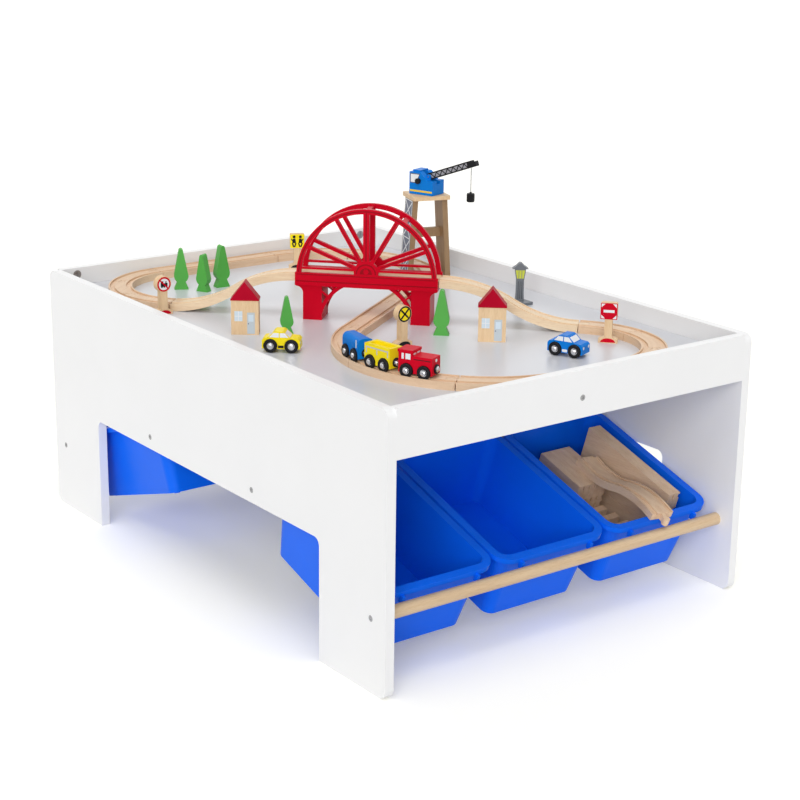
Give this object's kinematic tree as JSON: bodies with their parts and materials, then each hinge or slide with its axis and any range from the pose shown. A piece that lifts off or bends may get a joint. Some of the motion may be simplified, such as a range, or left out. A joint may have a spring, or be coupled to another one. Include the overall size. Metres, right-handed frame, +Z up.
{
  "type": "train table",
  "caption": "Low white play table with arched side panels, a sunk grey board with a wooden railway, bridge, crane and toy vehicles, and tilted blue storage bins on dowels beneath.",
  "frame": {"origin": "centre of the footprint on the floor", "axes": "+X along the table towards the end with the stocked bins, +Y towards the right side panel, +Z up"},
  "size_m": [0.98, 0.69, 0.6059],
  "materials": {
    "white_board": "satin white lacquer on fibreboard",
    "grey_board": "semi-gloss light grey laminate",
    "birch": "clear satin lacquer",
    "beech_track": "smooth bare beech",
    "zinc": "bright zinc",
    "blue_plastic": "smooth moulded polypropylene",
    "red_plastic": "glossy moulded plastic",
    "green_paint": "satin paint on wood",
    "red_paint": "satin paint on wood",
    "grey_paint": "satin paint on wood",
    "blue_paint": "satin paint on wood",
    "yellow_paint": "satin paint on wood",
    "black_paint": "satin paint on wood",
    "black_plastic": "smooth moulded plastic",
    "cord": "twisted cord"
  },
  "bodies": {
    "table": {"side_panel_left": "white_board", "side_panel_right": "white_board", "end_rail_near": "white_board", "end_rail_far": "white_board", "play_board": "grey_board", "board_cleats": "white_board", "low_dowels": "birch", "high_dowels": "birch", "panel_screws": "zinc", "cam_locks": "zinc", "cam_bolts": "zinc", "track_small_curves": "beech_track", "track_large_curves": "beech_track", "track_straights": "beech_track", "track_ramps": "beech_track", "bridge_track": "beech_track", "bridge_span": "red_plastic", "bridge_piers": "red_plastic", "toy_trees": "green_paint", "house_blocks": "birch", "house_roofs": "red_paint", "road_signs": "birch", "lamp_post": "grey_paint", "crane_legs": "birch", "crane_stretcher": "birch", "crane_platform": "birch", "slew_pin": "zinc"},
    "bin_near_left": {"bin_near_left": "blue_plastic"},
    "bin_near_middle": {"bin_near_middle": "blue_plastic"},
    "bin_near_right": {"bin_near_right": "blue_plastic", "spare_track": "beech_track"},
    "bin_far_left": {"bin_far_left": "blue_plastic"},
    "bin_far_middle": {"bin_far_middle": "blue_plastic"},
    "bin_far_right": {"bin_far_right": "blue_plastic"},
    "crane_turret": {"crane_cab": "blue_paint", "boom_pin": "zinc"},
    "winch": {"winch_knob": "black_plastic"},
    "boom": {"crane_boom": "black_paint"},
    "hoist_cord": {"crane_cord": "cord"},
    "hook": {"hook_weight": "black_paint"},
    "engine": {"engine_body": "red_paint", "engine_magnets": "zinc"},
    "engine_axle_front": {"engine_axle_front": "black_plastic"},
    "engine_axle_rear": {"engine_axle_rear": "black_plastic"},
    "yellow_wagon": {"yellow_wagon_body": "yellow_paint", "yellow_wagon_magnets": "zinc"},
    "yellow_axle_front": {"yellow_axle_front": "black_plastic"},
    "yellow_axle_rear": {"yellow_axle_rear": "black_plastic"},
    "blue_wagon": {"blue_wagon_body": "blue_paint", "blue_wagon_magnets": "zinc"},
    "blue_axle_front": {"blue_axle_front": "black_plastic"},
    "blue_axle_rear": {"blue_axle_rear": "black_plastic"},
    "blue_car": {"blue_car_body": "blue_paint"},
    "blue_car_axle_front": {"blue_car_axle_front": "black_plastic"},
    "blue_car_axle_rear": {"blue_car_axle_rear": "black_plastic"},
    "yellow_car": {"yellow_car_body": "yellow_paint"},
    "yellow_car_axle_front": {"yellow_car_axle_front": "black_plastic"},
    "yellow_car_axle_rear": {"yellow_car_axle_rear": "black_plastic"}
  },
  "joints": [
    {"name": "lift_bin_near_left", "type": "slide", "parent": "table", "child": "bin_near_left", "axis": [0.3049, 0, 0.9524], "range_m": [0, 0.115]},
    {"name": "lift_bin_near_middle", "type": "slide", "parent": "table", "child": "bin_near_middle", "axis": [0.3049, 0, 0.9524], "range_m": [0, 0.115]},
    {"name": "lift_bin_near_right", "type": "slide", "parent": "table", "child": "bin_near_right", "axis": [0.3049, 0, 0.9524], "range_m": [0, 0.115]},
    {"name": "lift_bin_far_left", "type": "slide", "parent": "table", "child": "bin_far_left", "axis": [-0.3049, 0, 0.9524], "range_m": [0, 0.115]},
    {"name": "lift_bin_far_middle", "type": "slide", "parent": "table", "child": "bin_far_middle", "axis": [-0.3049, 0, 0.9524], "range_m": [0, 0.115]},
    {"name": "lift_bin_far_right", "type": "slide", "parent": "table", "child": "bin_far_right", "axis": [-0.3049, 0, 0.9524], "range_m": [0, 0.115]},
    {"name": "crane_slew", "type": "hinge", "parent": "table", "child": "crane_turret", "pos_m": [-0.20106, 0.24697, 0.5373], "axis": [0, 0, 1], "continuous": true},
    {"name": "boom_luff", "type": "hinge", "parent": "crane_turret", "child": "boom", "pos_m": [-0.19254, 0.2499, 0.5688], "axis": [0.3256, -0.9455, 0], "range_deg": [-10, 30]},
    {"name": "hook_swing", "type": "hinge", "parent": "boom", "child": "hoist_cord", "pos_m": [-0.11419, 0.27687, 0.59198], "axis": [0.3256, -0.9455, 0], "range_deg": [-30, 25]},
    {"name": "hoist", "type": "slide", "parent": "hoist_cord", "child": "hook", "axis": [0, 0, 1], "range_m": [0, 0.03], "deforming": ["crane_cord"]},
    {"name": "winch_turn", "type": "hinge", "parent": "crane_turret", "child": "winch", "pos_m": [-0.20578, 0.24534, 0.5613], "axis": [0.3256, -0.9455, 0], "range_deg": [0, 573.5]},
    {"name": "engine_travel", "type": "hinge", "parent": "table", "child": "engine", "pos_m": [0.23942, 0.019, 0.39], "axis": [0, 0, 1], "range_deg": [-39, 47]},
    {"name": "engine_axle_front_spin", "type": "hinge", "parent": "engine", "child": "engine_axle_front", "pos_m": [0.34314, -0.16595, 0.40955], "axis": [-0.4305, 0.9026, 0], "continuous": true},
    {"name": "engine_axle_rear_spin", "type": "hinge", "parent": "engine", "child": "engine_axle_rear", "pos_m": [0.31787, -0.178, 0.40955], "axis": [-0.4305, 0.9026, 0], "continuous": true},
    {"name": "yellow_wagon_travel", "type": "hinge", "parent": "table", "child": "yellow_wagon", "pos_m": [0.23942, 0.019, 0.39], "axis": [0, 0, 1], "range_deg": [-39, 47]},
    {"name": "yellow_axle_front_spin", "type": "hinge", "parent": "yellow_wagon", "child": "yellow_axle_front", "pos_m": [0.28285, -0.18855, 0.40955], "axis": [-0.1398, 0.9902, 0], "continuous": true},
    {"name": "yellow_axle_rear_spin", "type": "hinge", "parent": "yellow_wagon", "child": "yellow_axle_rear", "pos_m": [0.25513, -0.19246, 0.40955], "axis": [-0.1398, 0.9902, 0], "continuous": true},
    {"name": "blue_wagon_travel", "type": "hinge", "parent": "table", "child": "blue_wagon", "pos_m": [0.23942, 0.019, 0.39], "axis": [0, 0, 1], "range_deg": [-39, 47]},
    {"name": "blue_axle_front_spin", "type": "hinge", "parent": "blue_wagon", "child": "blue_axle_front", "pos_m": [0.21856, -0.19202, 0.40955], "axis": [0.1638, 0.9865, 0], "continuous": true},
    {"name": "blue_axle_rear_spin", "type": "hinge", "parent": "blue_wagon", "child": "blue_axle_rear", "pos_m": [0.19094, -0.18743, 0.40955], "axis": [0.1638, 0.9865, 0], "continuous": true},
    {"name": "blue_car_roll", "type": "slide", "parent": "table", "child": "blue_car", "axis": [0.9205, 0.3907, 0], "range_m": [-0.03, 0.02]},
    {"name": "blue_car_axle_front_spin", "type": "hinge", "parent": "blue_car", "child": "blue_car_axle_front", "pos_m": [0.35514, 0.11125, 0.40055], "axis": [-0.3907, 0.9205, 0], "continuous": true},
    {"name": "blue_car_axle_rear_spin", "type": "hinge", "parent": "blue_car", "child": "blue_car_axle_rear", "pos_m": [0.32569, 0.09875, 0.40055], "axis": [-0.3907, 0.9205, 0], "continuous": true},
    {"name": "yellow_car_roll", "type": "slide", "parent": "table", "child": "yellow_car", "axis": [0.6691, 0.7431, 0], "range_m": [-0.05, 0.015]},
    {"name": "yellow_car_axle_front_spin", "type": "hinge", "parent": "yellow_car", "child": "yellow_car_axle_front", "pos_m": [0.08819, -0.22826, 0.40055], "axis": [-0.7431, 0.6691, 0], "continuous": true},
    {"name": "yellow_car_axle_rear_spin", "type": "hinge", "parent": "yellow_car", "child": "yellow_car_axle_rear", "pos_m": [0.06678, -0.25204, 0.40055], "axis": [-0.7431, 0.6691, 0], "continuous": true}
  ],
  "couplings": [
    {"joint": "winch_turn", "follows": "hoist", "rad_per_m": 333.33},
    {"joint": "yellow_wagon_travel", "follows": "engine_travel", "ratio": 1},
    {"joint": "blue_wagon_travel", "follows": "engine_travel", "ratio": 1}
  ]
}
